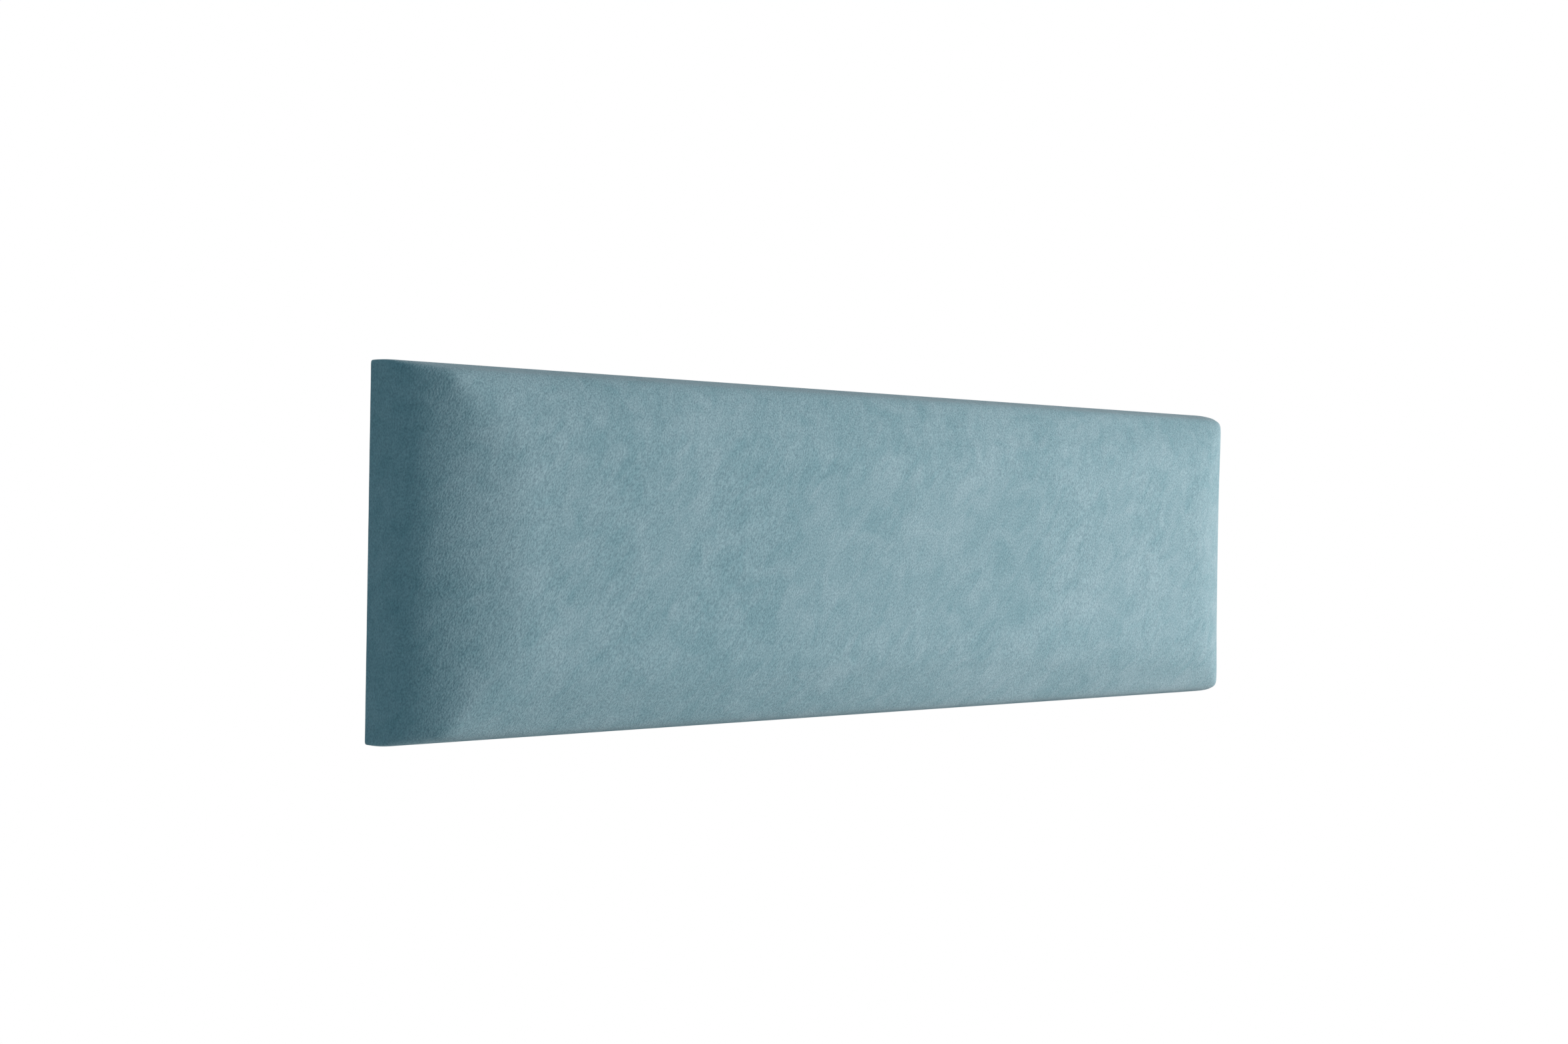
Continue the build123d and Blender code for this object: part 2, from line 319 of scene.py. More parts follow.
def waves(places, size, seed, octaves=3):
    """Soft unevenness from -1 to 1 at each place, as a sum of slanted waves drawn with a fixed seed."""
    draw = np.random.default_rng(seed)
    total = np.zeros(len(places))
    for octave in range(octaves):
        for _ in range(6):
            direction = draw.normal(size=3)
            direction *= 2 ** octave * 2 * math.pi / size / np.linalg.norm(direction)
            total += np.sin(places @ direction + draw.uniform(0, 2 * math.pi)) / 2 ** octave
    return total / np.abs(total).max()


def simulate(piece, held, frames=20, pressure=4.0, slack=0.0, stiffness=15.0, bending=0.5):
    """Runs a piece as cloth without gravity, with some points held, and returns where its points end."""
    group = piece.vertex_groups.new(name="held")
    for index in np.flatnonzero(held > 0):
        group.add([int(index)], float(held[index]), "REPLACE")
    cloth = piece.modifiers.new("cloth", "CLOTH")
    settings = cloth.settings
    settings.quality = 6
    settings.mass = 0.3
    settings.tension_stiffness = settings.compression_stiffness = settings.shear_stiffness = stiffness
    settings.bending_stiffness = bending
    settings.vertex_group_mass = "held"
    settings.use_pressure = pressure != 0
    settings.uniform_pressure_force = pressure
    settings.shrink_min = settings.shrink_max = -slack
    settings.effector_weights.gravity = 0
    cloth.collision_settings.use_collision = False
    cloth.point_cache.frame_start = 1
    cloth.point_cache.frame_end = frames
    for number in range(1, frames + 1):
        scene.frame_set(number)
    evaluated = piece.evaluated_get(bpy.context.evaluated_depsgraph_get())
    places = points_of(evaluated.data)
    piece.modifiers.clear()
    piece.vertex_groups.clear()
    scene.frame_set(1)
    return places


# ---- materials


def plug(tree, socket, value):
    if isinstance(value, bpy.types.NodeSocket):
        tree.links.new(value, socket)
    else:
        socket.default_value = value


def node(tree, kind, settings=None, **inputs):
    """Adds a node. Inputs are values or other sockets, by socket name with _ for a space."""
    made = tree.nodes.new(kind)
    for name, value in (settings or {}).items():
        setattr(made, name, value)
    for name, value in inputs.items():
        plug(tree, made.inputs[name.replace("_", " ")], value)
    return made


def operation(tree, kind, name, values):
    made = node(tree, kind, {"operation": name})
    for socket, value in zip(made.inputs, values):
        plug(tree, socket, value)
    return made.outputs[0]


def maths(tree, name, *values):
    return operation(tree, "ShaderNodeMath", name, values)


def vector_maths(tree, name, *values):
    return operation(tree, "ShaderNodeVectorMath", name, values)


def mixed(tree, share, low, high, blend="MIX"):
    """A colour between two, by a share from 0 to 1."""
    made = node(tree, "ShaderNodeMix", {"data_type": "RGBA", "blend_type": blend})
    plug(tree, made.inputs[0], share)
    plug(tree, made.inputs[6], low)
    plug(tree, made.inputs[7], high)
    return made.outputs[2]


def spread(tree, value, low, high, to_low=0.0, to_high=1.0):
    """A value stretched from one range to another, and kept in it."""
    made = node(tree, "ShaderNodeMapRange", Value=value, From_Min=low, From_Max=high)
    made.inputs["To Min"].default_value, made.inputs["To Max"].default_value = to_low, to_high
    return made.outputs[0]


def new_group(name, inputs, outputs):
    """An empty shader group with named sockets, and the sockets of its two end nodes."""
    tree = bpy.data.node_groups.new(name, "ShaderNodeTree")
    for label, default in inputs.items():
        kind = "NodeSocketVector" if isinstance(default, tuple) else "NodeSocketFloat"
        tree.interface.new_socket(label, in_out="INPUT", socket_type=kind).default_value = default
    for label in outputs:
        tree.interface.new_socket(label, in_out="OUTPUT", socket_type="NodeSocketFloat")
    return tree, tree.nodes.new("NodeGroupInput").outputs, tree.nodes.new("NodeGroupOutput").inputs


def grain_group():
    """Fine or coarse unevenness of one size, drawn out along the axes by Stretch and turned by Turn."""
    inputs = {"Size": 1 * MM, "Stretch": (1.0, 1.0, 1.0), "Turn": (0.0, 0.0, 0.0)}
    tree, given, out = new_group("grain", {**inputs, "Detail": 2.0, "Swirl": 0.0}, ["Height"])
    place = node(tree, "ShaderNodeTexCoord").outputs["Object"]
    turned = node(tree, "ShaderNodeMapping", Vector=place, Rotation=given["Turn"]).outputs[0]
    drawn = vector_maths(tree, "DIVIDE", turned, given["Stretch"])
    scale = maths(tree, "DIVIDE", 1.0, given["Size"])
    texture = node(tree, "ShaderNodeTexNoise", Vector=drawn, Scale=scale, Detail=given["Detail"])
    tree.links.new(given["Swirl"], texture.inputs["Distortion"])
    tree.links.new(texture.outputs["Fac"], out["Height"])
    return tree


def cells_group():
    """Rounded cells of one size: how far from a cell's middle, and a random tone for each cell."""
    tree, given, out = new_group("cells", {"Size": 1 * MM, "Stretch": (1.0, 1.0, 1.0)}, ["Height", "Tone"])
    place = node(tree, "ShaderNodeTexCoord").outputs["Object"]
    drawn = vector_maths(tree, "DIVIDE", place, given["Stretch"])
    scale = maths(tree, "DIVIDE", 1.0, given["Size"])
    texture = node(tree, "ShaderNodeTexVoronoi", Vector=drawn, Scale=scale)
    tree.links.new(texture.outputs["Distance"], out["Height"])
    tone = node(tree, "ShaderNodeSeparateColor", Color=texture.outputs["Color"])
    tree.links.new(tone.outputs[0], out["Tone"])
    return tree


GRAIN = grain_group()
CELLS = cells_group()


def grain(tree, size, stretch=(1, 1, 1), turn=(0, 0, 0), detail=2.0, swirl=0.0):
    inputs = {"Size": size, "Stretch": stretch, "Detail": detail, "Swirl": swirl}
    inputs["Turn"] = [math.radians(angle) for angle in turn]
    return node(tree, "ShaderNodeGroup", {"node_tree": GRAIN}, **inputs).outputs["Height"]


def cells(tree, size, stretch=(1, 1, 1)):
    made = node(tree, "ShaderNodeGroup", {"node_tree": CELLS}, Size=size, Stretch=stretch)
    return made.outputs["Height"], made.outputs["Tone"]


def bumps(tree, *layers):
    """Normals from layers of (height, depth in metres, strength), laid on each other."""
    normal = None
    for height, depth, strength in layers:
        made = node(tree, "ShaderNodeBump", Height=height, Distance=depth, Strength=strength)
        if normal is not None:
            tree.links.new(normal, made.inputs["Normal"])
        normal = made.outputs[0]
    return normal


def surface(name, **fixed):
    """A material with a Principled shader, and its fixed values by socket name with _ for a space."""
    made = bpy.data.materials.new(name)
    made.use_nodes = True
    tree = made.node_tree
    tree.nodes.clear()
    shader = node(tree, "ShaderNodeBsdfPrincipled", **fixed)
    tree.links.new(shader.outputs[0], node(tree, "ShaderNodeOutputMaterial").inputs["Surface"])
    return made, tree, shader.inputs


def wire(tree, shader, **values):
    """Links sockets to a shader's inputs, by socket name with _ for a space."""
    for name, value in values.items():
        tree.links.new(value, shader[name.replace("_", " ")])


def velvet():
    """Short-piled velvet: pile brushed this way and that in soft clouds, over a fine grain of tufts."""
    made, tree, shader = surface(
        "velvet",
        Sheen_Weight=0.12,
        Sheen_Roughness=0.5,
        Sheen_Tint=(0.94, 0.97, 1.0, 1.0),
        Specular_IOR_Level=0.12,
    )
    patches = grain(tree, 95 * MM, stretch=(1.5, 1, 0.8), turn=(0, 32, 0), detail=3, swirl=0.6)
    clouds = grain(tree, 17 * MM, stretch=(1.3, 1, 0.9), turn=(0, 40, 0), detail=5, swirl=0.9)
    streaks = grain(tree, 5 * MM, stretch=(0.7, 1, 3.0), turn=(0, -35, 0), detail=3, swirl=0.4)
    tufts = grain(tree, 1.1 * MM, stretch=(0.8, 0.8, 1.3), turn=(0, -30, 0), detail=3)
    brushed = maths(tree, "MULTIPLY", patches, 0.33)
    for layer, share in ((clouds, 0.44), (streaks, 0.23)):
        brushed = maths(tree, "ADD", brushed, maths(tree, "MULTIPLY", layer, share))
    lie = spread(tree, brushed, 0.39, 0.61)
    colour = mixed(tree, lie, (0.107, 0.199, 0.232, 1), (0.149, 0.239, 0.275, 1))
    fleck = mixed(tree, spread(tree, tufts, 0.3, 0.7), (0.74, 0.77, 0.79, 1), (1.24, 1.22, 1.20, 1))
    colour = mixed(tree, 1.0, colour, fleck, "MULTIPLY")
    normal = bumps(tree, (brushed, 2.0 * MM, 0.3), (tufts, 0.5 * MM, 0.75))
    wire(tree, shader, Base_Color=colour, Roughness=spread(tree, lie, 0, 1, 0.96, 0.84), Normal=normal)
    return made


def dust_cloth():
    """Black spunbonded cloth: random fibres, pressed together in rows of small points."""
    made, tree, shader = surface("dust_cloth", Specular_IOR_Level=0.3, Sheen_Weight=0.15, Sheen_Roughness=0.5)
    place = node(tree, "ShaderNodeTexCoord").outputs["Object"]
    turned = node(tree, "ShaderNodeMapping", Vector=place, Rotation=(0, math.radians(45), 0)).outputs[0]
    parts = node(tree, "ShaderNodeSeparateXYZ", Vector=turned)
    pitch = 1.5 * MM
    turned_places = [maths(tree, "MULTIPLY", parts.outputs[k], 2 * math.pi / pitch) for k in (0, 2)]
    rows = [maths(tree, "SINE", place) for place in turned_places]
    points = spread(tree, maths(tree, "MULTIPLY", rows[0], rows[1]), 0.25, 0.8)
    fibres = grain(tree, 0.7 * MM, detail=4, swirl=2.5)
    thin = grain(tree, 9 * MM, detail=4, swirl=0.8)
    colour = mixed(tree, spread(tree, fibres, 0.3, 0.75), (0.010, 0.010, 0.011, 1), (0.030, 0.030, 0.032, 1))
    colour = mixed(tree, spread(tree, thin, 0.4, 0.7), colour, (0.036, 0.036, 0.038, 1))
    colour = mixed(tree, points, colour, (0.016, 0.016, 0.017, 1))
    wire(tree, shader, Base_Color=colour, Roughness=spread(tree, points, 0, 1, 0.82, 0.45))
    pressed = maths(tree, "SUBTRACT", 1.0, points)
    normal = bumps(tree, (pressed, 0.25 * MM, 0.8), (fibres, 0.15 * MM, 0.5))
    wire(tree, shader, Normal=normal)
    return made


def wadding_fibre():
    made, tree, shader = surface("wadding", Sheen_Weight=0.4, Sheen_Roughness=0.6, Specular_IOR_Level=0.2)
    tangle = grain(tree, 1.6 * MM, stretch=(2.2, 1, 1), detail=6, swirl=3.0)
    lumps = grain(tree, 14 * MM, detail=3, swirl=0.5)
    colour = mixed(tree, spread(tree, tangle, 0.3, 0.7), (0.68, 0.68, 0.66, 1), (0.88, 0.88, 0.86, 1))
    wire(
        tree, shader, Base_Color=colour,
        Roughness=spread(tree, lumps, 0.3, 0.7, 0.85, 1.0),
        Normal=bumps(tree, (lumps, 2 * MM, 0.4), (tangle, 0.6 * MM, 0.8)),
    )
    return made


def open_foam():
    """Soft cream foam, cut from a block: open cells with a faint cut pattern, and painted shade darkening the
    cells' hollows.
    """
    made, tree, shader = surface("soft_foam", Subsurface_Weight=0.1, Specular_IOR_Level=0.15)
    height, tone = cells(tree, 0.9 * MM)
    cut = grain(tree, 6 * MM, stretch=(8, 8, 1), detail=2)
    # Painted shade: the colour runs dark towards each cell's middle, where its pore is hollow.
    colour = mixed(tree, height, (0.46, 0.40, 0.26, 1), (0.84, 0.78, 0.58, 1))
    colour = mixed(tree, spread(tree, cut, 0.4, 0.8, 0, 0.25), colour, (0.72, 0.64, 0.42, 1))
    wire(
        tree, shader, Base_Color=colour,
        Roughness=spread(tree, tone, 0, 1, 0.85, 1.0),
        Normal=bumps(tree, (cut, 0.5 * MM, 0.3), (height, 0.5 * MM, 0.9)),
    )
    return made


def chip_foam():
    """Firm foam, bonded from chips of several foams, with painted shade darkening the hollows of its pores.
    """
    made, tree, shader = surface("firm_foam", Specular_IOR_Level=0.15)
    between, tone = cells(tree, 9 * MM, stretch=(1.4, 1, 1))
    pores, _ = cells(tree, 0.8 * MM)
    ramp = node(tree, "ShaderNodeValToRGB", Fac=tone)
    ramp.color_ramp.interpolation = "CONSTANT"
    shades = {
        0.0: (0.20, 0.22, 0.24),
        0.3: (0.33, 0.35, 0.37),
        0.55: (0.12, 0.17, 0.24),
        0.75: (0.52, 0.50, 0.44),
    }
    for place, shade in shades.items():
        stop = ramp.color_ramp.elements.new(place) if place else ramp.color_ramp.elements[0]
        stop.color = (*shade, 1)
    ramp.color_ramp.elements.remove(ramp.color_ramp.elements[-1])
    # Painted shade: the colour is darkened towards each pore's middle, in its hollow.
    colour = mixed(tree, spread(tree, pores, 0, 0.6, 0.35, 0), ramp.outputs[0], (0.05, 0.05, 0.06, 1))
    wire(
        tree, shader, Base_Color=colour,
        Roughness=spread(tree, tone, 0, 1, 0.85, 1.0),
        Normal=bumps(tree, (between, 1.5 * MM, 0.3), (pores, 0.4 * MM, 0.8)),
    )
    return made


def plywood():
    """Birch plywood: long veneer grain on its faces, and its plies on its edges."""
    made, tree, shader = surface("plywood", Specular_IOR_Level=0.3)
    coordinates = node(tree, "ShaderNodeTexCoord")
    ply_t = (board_high.y - board_low.y) / 9
    deep = node(tree, "ShaderNodeSeparateXYZ", Vector=coordinates.outputs["Object"]).outputs["Y"]
    plies = maths(tree, "SINE", maths(tree, "MULTIPLY", deep, math.pi / ply_t))
    facing = node(tree, "ShaderNodeSeparateXYZ", Vector=coordinates.outputs["Normal"]).outputs["Y"]
    on_face = spread(tree, maths(tree, "ABSOLUTE", facing), 0.5, 0.8)
    veneer = grain(tree, 3.5 * MM, stretch=(22, 1, 1), detail=5, swirl=0.6)
    broad = grain(tree, 45 * MM, stretch=(7, 1, 1), detail=3, swirl=1.2)
    pores = grain(tree, 0.7 * MM, stretch=(14, 1, 1), detail=2)
    face = mixed(tree, spread(tree, veneer, 0.3, 0.7), (0.42, 0.28, 0.15, 1), (0.62, 0.46, 0.28, 1))
    face = mixed(tree, spread(tree, broad, 0.35, 0.7, 0, 0.5), face, (0.66, 0.50, 0.33, 1))
    face = mixed(tree, spread(tree, pores, 0.6, 0.8, 0, 0.5), face, (0.25, 0.15, 0.08, 1))
    edge = mixed(tree, spread(tree, plies, -0.2, 0.2), (0.30, 0.18, 0.09, 1), (0.60, 0.44, 0.27, 1))
    wire(
        tree, shader, Base_Color=mixed(tree, on_face, edge, face),
        Roughness=spread(tree, veneer, 0, 1, 0.55, 0.8),
        Normal=bumps(tree, (veneer, 0.2 * MM, 0.4), (pores, 0.2 * MM, 0.4)),
    )
    return made


def metal(name, dark, light, rough, lines, line_size):
    """A metal with fine lines drawn along one way and faint handling marks."""
    made, tree, shader = surface(name, Metallic=1.0)
    drawn = grain(tree, line_size, stretch=lines, detail=4)
    marks = grain(tree, 18 * MM, detail=5, swirl=1.5)
    scuffs = grain(tree, 1.1 * MM, stretch=(7, 1, 1), turn=(0, 28, 0), detail=2)
    colour = mixed(tree, spread(tree, marks, 0.35, 0.65), (*dark, 1), (*light, 1))
    colour = mixed(tree, spread(tree, drawn, 0.3, 0.7, 0, 0.35), colour, (*dark, 1))
    wear = spread(tree, drawn, 0.3, 0.7, -0.06, 0.06)
    wear = maths(tree, "ADD", wear, spread(tree, marks, 0.3, 0.7, -0.07, 0.09))
    wear = maths(tree, "ADD", wear, spread(tree, scuffs, 0.66, 0.74, 0, 0.12))
    wear = maths(tree, "ADD", wear, rough)
    normal = bumps(tree, (drawn, 0.03 * MM, 0.5), (scuffs, 0.02 * MM, 0.3))
    wire(tree, shader, Base_Color=colour, Roughness=wear, Normal=normal)
    return made


def rubber():
    made, tree, shader = surface("bumper_rubber", Specular_IOR_Level=0.35)
    skin = grain(tree, 0.35 * MM, detail=3)
    bloom = grain(tree, 7 * MM, detail=4, swirl=1.0)
    colour = mixed(tree, spread(tree, bloom, 0.4, 0.7), (0.018, 0.018, 0.018, 1), (0.034, 0.034, 0.035, 1))
    wire(
        tree, shader, Base_Color=colour,
        Roughness=spread(tree, bloom, 0.3, 0.7, 0.55, 0.75),
        Normal=bumps(tree, (skin, 0.06 * MM, 0.6)),
    )
    return made


def felt():
    made, tree, shader = surface("liner_felt", Sheen_Weight=0.3, Sheen_Roughness=0.5, Specular_IOR_Level=0.1)
    hairs = grain(tree, 0.5 * MM, stretch=(2.5, 1, 1), detail=5, swirl=3.0)
    colour = mixed(tree, spread(tree, hairs, 0.35, 0.7), (0.030, 0.030, 0.032, 1), (0.12, 0.12, 0.125, 1))
    wire(
        tree, shader, Base_Color=colour,
        Roughness=spread(tree, hairs, 0, 1, 0.9, 1.0),
        Normal=bumps(tree, (hairs, 0.3 * MM, 0.9)),
    )
    return made


MATERIALS = {
    "velvet": velvet(),
    "wadding": wadding_fibre(),
    "soft_foam": open_foam(),
    "firm_foam": chip_foam(),
    "plywood": plywood(),
    "dust_cloth": dust_cloth(),
    "staple_steel": metal("staple_steel", (0.50, 0.50, 0.50), (0.66, 0.66, 0.65), 0.34, (9, 1, 1), 0.25 * MM),
    "screw_steel": metal("screw_steel", (0.52, 0.50, 0.45), (0.70, 0.68, 0.62), 0.30, (1, 1, 1), 0.3 * MM),
    "rail_aluminium": metal(
        "rail_aluminium", (0.62, 0.63, 0.64), (0.74, 0.75, 0.76), 0.36, (90, 1, 1), 0.22 * MM
    ),
    "liner_felt": felt(),
    "bumper_rubber": rubber(),
}


def finish_piece(piece, slot, *nodes, body="panel"):
    """Gives a finished piece its material and its body, and hides the frame nodes that it stands for."""
    set_material(piece, MATERIALS[slot])
    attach(piece, body)
    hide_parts(*nodes)
    return piece


# ---- velvet cover

swell = 0.5 * MM
swell_from = 18 * MM
swell_over = 36 * MM
side_pull = 0.3 * MM
side_pull_over = 3 * MM
held_deep = 9 * MM
cover_uneven = 0.2 * MM
staple_pull = 0.14 * MM
staple_pull_deep = 8 * MM
fold_w = 24 * MM
fold_t = 0.9 * MM
fold_from = 4.5 * MM


def pad_levels():
    """(half length, half height, depth) of level rings, from just above the back edge to the middle grid."""
    end_line, edge_line = ends.outline(), edges.outline()
    shown = end_line[(end_line[:, 0] > grid_half_x) & (end_line[:, 1] > back_edge_r)][::-1]
    shown = np.concatenate([[(half_length, back_edge_r)], shown])
    along = np.concatenate([[0], np.cumsum(np.linalg.norm(np.diff(shown, axis=0), axis=1))])
    at = np.linspace(0, along[-1], round(along[-1] / loop_spacing) + 1)
    deep = np.interp(at, along, shown[:, 1])
    half_x = np.interp(at, along, shown[:, 0])
    half_z = np.interp(deep, edge_line[::-1, 1], edge_line[::-1, 0])
    return np.stack([half_x, half_z, deep], 1)


def pad_shape():
    """Places of the pad's sides and front, ring by ring and then over the middle, and their faces."""
    levels = pad_levels()
    half_x, half_z, deep = levels[-1]
    x, z = np.meshgrid(spaced(half_x, steps_x), spaced(half_z, steps_z))
    centre = np.stack([x, z, np.full_like(x, deep)], 2)[1:-1, 1:-1].reshape(-1, 3)
    end_line, edge_line = ends.outline(), edges.outline()
    centre[:, 2] = np.minimum(
        np.interp(np.abs(centre[:, 0]), end_line[:, 0], end_line[:, 1]),
        np.interp(np.abs(centre[:, 1]), edge_line[:, 0], edge_line[:, 1]),
    )
    places = onto_pad(np.concatenate([*(ring_places(*level) for level in levels), centre]))
    faces = ring_faces(len(levels), around)
    last = (len(levels) - 1) * around
    number = np.zeros((steps_z + 1, steps_x + 1), int)
    number[0, :-1] = last + np.arange(steps_x)
    number[:-1, -1] = last + steps_x + np.arange(steps_z)
    number[-1, :0:-1] = last + steps_x + steps_z + np.arange(steps_x)
    number[:0:-1, 0] = last + 2 * steps_x + steps_z + np.arange(steps_z)
    number[1:-1, 1:-1] = last + around + np.arange(len(centre)).reshape(steps_z - 1, steps_x - 1)
    return places, faces + grid_faces(number)


def back_rings(first_ring):
    """Rings that carry the cover round its back edge and flat behind the board, to its raw edge."""
    bends = np.radians([22.5, 45, 67.5, 90])
    insets = [(back_edge_r * (1 - math.cos(b)), back_edge_r * (1 - math.sin(b))) for b in bends]
    insets += [(inward * MM, 0.0) for inward in (5, 9, 14, 19, 24, 29, 33)] + [(turn_in_w, 0.0)]
    hard = ring_places(half_length, half_height, 0)
    rounding = first_ring[:, :2] - hard[:, :2]
    rings = []
    for inward, deep in insets:
        ring = ring_places(half_length - inward, half_height - inward, deep)
        ring[:, :2] += rounding * max(0.0, 1 - inward / (8 * MM))
        rings.append(ring)
    frayed = 0.9 * MM * waves(rings[-1], 60 * MM, seed=4)
    rings[-1][:, :2] *= 1 - (frayed / np.abs(rings[-1][:, :2]).max(1))[:, None]
    return rings[::-1]


def evened(mesh, values, rounds):
    """Values at a mesh's points, each brought towards its neighbours' mean some times."""
    ends_of = np.zeros(len(mesh.edges) * 2, np.int32)
    mesh.edges.foreach_get("vertices", ends_of)
    a, b = ends_of.reshape(-1, 2).T
    count = np.bincount(a, minlength=len(values)) + np.bincount(b, minlength=len(values))
    for _ in range(rounds):
        total = np.bincount(a, values[b], len(values)) + np.bincount(b, values[a], len(values))
        values = (values + total / count) / 2
    return values


def velvet_cover():
    """The cover, filled out as cloth over the foam, turned back behind and held there by its staples."""
    shape, shape_faces = pad_shape()
    behind = back_rings(shape[:around])
    first = len(behind) * around
    places = np.concatenate([*behind, shape])
    faces = [tuple(i + first for i in face) for face in shape_faces] + ring_faces(len(behind) + 1, around)
    opening = tuple(range(around))[::-1]
    cover = mesh_object("velvet_cover_soft", to_frame(places), [*faces, opening])
    face_out(cover)
    target, normals = points_of(cover.data), normals_of(cover.data)
    deep = back_y - target[:, 1]
    front = smoothstep((deep - swell_from) / swell_over)
    lift = np.zeros(len(target))
    started = target - normals * (swell * front)[:, None]
    set_points(cover.data, started)
    moved = simulate(cover, np.where(deep < held_deep, 1.0, 0.0), pressure=1.5) - started
    along = evened(cover.data, (moved * normals).sum(1), rounds=14)
    lift = swell * front * (np.tanh(np.maximum(along, 0) / swell) - 1)
    lift -= side_pull * np.tanh(np.maximum(-along, 0) / side_pull_over)
    lift += cover_uneven * waves(target, 150 * MM, seed=11) * front
    run = np.where(np.abs(target[:, 0]) > half_length - 12 * MM, target[:, 2] - middle_z, target[:, 0])
    near_back = np.exp(-deep / staple_pull_deep) * (deep > 0.5 * MM)
    lift -= staple_pull * (1 + np.cos(2 * math.pi * run / staple_pitch)) / 2 * near_back
    settled = target + normals * lift[:, None]
    set_points(cover.data, settled)
    with_bmesh(cover, remove_opening)
    subdivide(cover)
    thicken(cover, cover_t)
    return cover, settled[first:], normals[first:], shape_faces


def remove_opening(mesh):
    largest = max(mesh.faces, key=lambda face: len(face.verts))
    bmesh.ops.delete(mesh, geom=[largest], context="FACES_ONLY")


def fold_rise(across, up):
    """How far the folded corners of the cover stand behind its back plane."""
    from_end, from_edge = half_length - np.abs(across), half_height - np.abs(up)
    beside = from_end - from_edge
    slope = 1 - smoothstep(beside / fold_w)
    onset = np.sqrt(np.clip(1 - (1 - np.clip((beside + fold_t) / fold_t, 0, 1)) ** 2, 0, 1))
    inner = np.minimum(from_end, from_edge)
    reach = smoothstep((inner - fold_from) / (4 * MM))
    reach *= 1 - smoothstep((inner - turn_in_w + 6 * MM) / (8 * MM))
    return fold_t * slope * onset * reach


def fold_swell(across, up):
    """How far the dust cover is raised by the folds beneath it."""
    from_end, from_edge = half_length - np.abs(across), half_height - np.abs(up)
    beside = from_end - from_edge
    slope = 1 - smoothstep((beside - 2 * MM) / fold_w)
    return (fold_t + 0.35 * MM) * slope * smoothstep((beside + 7 * MM) / (5 * MM))


def corner_folds():
    """The spare cloth at each corner, folded flat over the long edge's turned-back border."""
    places, faces = [], []
    across_steps, along_steps = 14, 12
    for side in (-1, 1):
        for way in (-1, 1):
            first = len(places)
            for inward in np.linspace(fold_from, turn_in_w - 1 * MM, along_steps + 1):
                for beside in np.linspace(-fold_t, fold_w, across_steps + 1):
                    x, z = half_length - inward - beside, half_height - inward
                    places.append((side * x, way * z, 0.05 * MM - float(fold_rise(np.array(x), np.array(z)))))
            number = np.arange(first, len(places)).reshape(along_steps + 1, -1)
            faces += [face[:: side * way] for face in grid_faces(number)]
    folds = mesh_object("cover_corner_folds", to_frame(np.array(places)), faces)
    return thicken(folds, 0.4 * MM)


def inner_shell(name, places, inset, low=None, high=None):
    """The pad's shape drawn in by inset. Low and high cut it at those depths, and close it there."""
    piece = mesh_object(name, places - shell_normals * inset, shell_faces)
    for cut, keep in ((low, -1), (high, 1)):
        if cut is not None:
            with_bmesh(piece, lambda mesh: cut_at(mesh, back_y - cut, keep))
    return piece


def cut_at(mesh, y, keep):
    """Cuts a mesh across Y, keeps the side that keep points to, and closes it with one face."""
    everything = [*mesh.verts, *mesh.edges, *mesh.faces]
    done = bmesh.ops.bisect_plane(
        mesh, geom=everything, dist=1e-6, plane_co=(0, y, 0), plane_no=(0, -keep, 0), clear_outer=True
    )
    rim = [part for part in done["geom_cut"] if isinstance(part, bmesh.types.BMEdge)]
    bmesh.ops.contextual_create(mesh, geom=rim)


cover, shell, shell_normals, shell_faces = velvet_cover()
folds = corner_folds()
finish_piece(cover, "velvet", "velvet_cover")
finish_piece(folds, "velvet")

# ---- wadding and foams

wadding_inset = cover_t + layer_gap
foam_inset = wadding_inset + wadding_t + layer_gap
wadding_lumps = 0.12 * MM
wadding_slack = 0.3 * MM

wadding_places = shell.copy()
wadding_places[:around, 1] = back_y - cover_t
wadding = inner_shell("wadding_soft", wadding_places, wadding_inset)
face_out(wadding)
subdivide(wadding)
lumps = wadding_lumps * (waves(points_of(wadding.data), 18 * MM, seed=21) - 1)
set_points(wadding.data, points_of(wadding.data) + normals_of(wadding.data) * lumps[:, None])
thicken(wadding, wadding_t - wadding_slack)
kept_in = points_of(wadding.data)
kept_in[:, 0] = np.clip(kept_in[:, 0], cover_t - half_length, half_length - cover_t)
kept_in[:, 2] = np.clip(kept_in[:, 2], middle_z + cover_t - half_height, middle_z + half_height - cover_t)
set_points(wadding.data, kept_in)
finish_piece(wadding, "wadding", "wadding")

foam_split = board_front + firm_foam_t
soft_foam = inner_shell("soft_foam_block", shell, foam_inset, low=foam_split)
firm_foam = inner_shell("firm_foam_block", shell, foam_inset, low=board_front, high=foam_split)
for piece, name in ((soft_foam, "soft_foam"), (firm_foam, "firm_foam")):
    face_out(piece)
    finish_piece(piece, name, name)

# ---- dust cover

dust_half_x = (dust_high.x - dust_low.x) / 2
dust_half_z = (dust_high.z - dust_low.z) / 2
sink_from = 2 * MM
sink_w = 3.5 * MM
sheet_cell = 3.4 * MM
dust_rise = 1.1 * MM
dust_ragged = 0.7 * MM
panel_lift = 12 * MM
rail_clear = 4 * MM
flat_top = panel_rail_high.z + rail_clear
flat_foot = wall_rail_low.z - panel_lift - rail_clear


def staple_rows(inset, pitch):
    """(middle across, middle up, count, turn in degrees) of the staple row along each edge."""
    corner_clear = 20 * MM
    x, z = half_length - inset, half_height - inset
    long_count = int((2 * half_length - 2 * (inset + corner_clear)) / pitch + 1e-6) + 1
    short_count = int((2 * half_height - 2 * (inset + corner_clear)) / pitch + 1e-6) + 1
    return {
        "top": (0, z, long_count, 0),
        "bottom": (0, -z, long_count, 0),
        "left": (-x, 0, short_count, 90),
        "right": (x, 0, short_count, 90),
    }


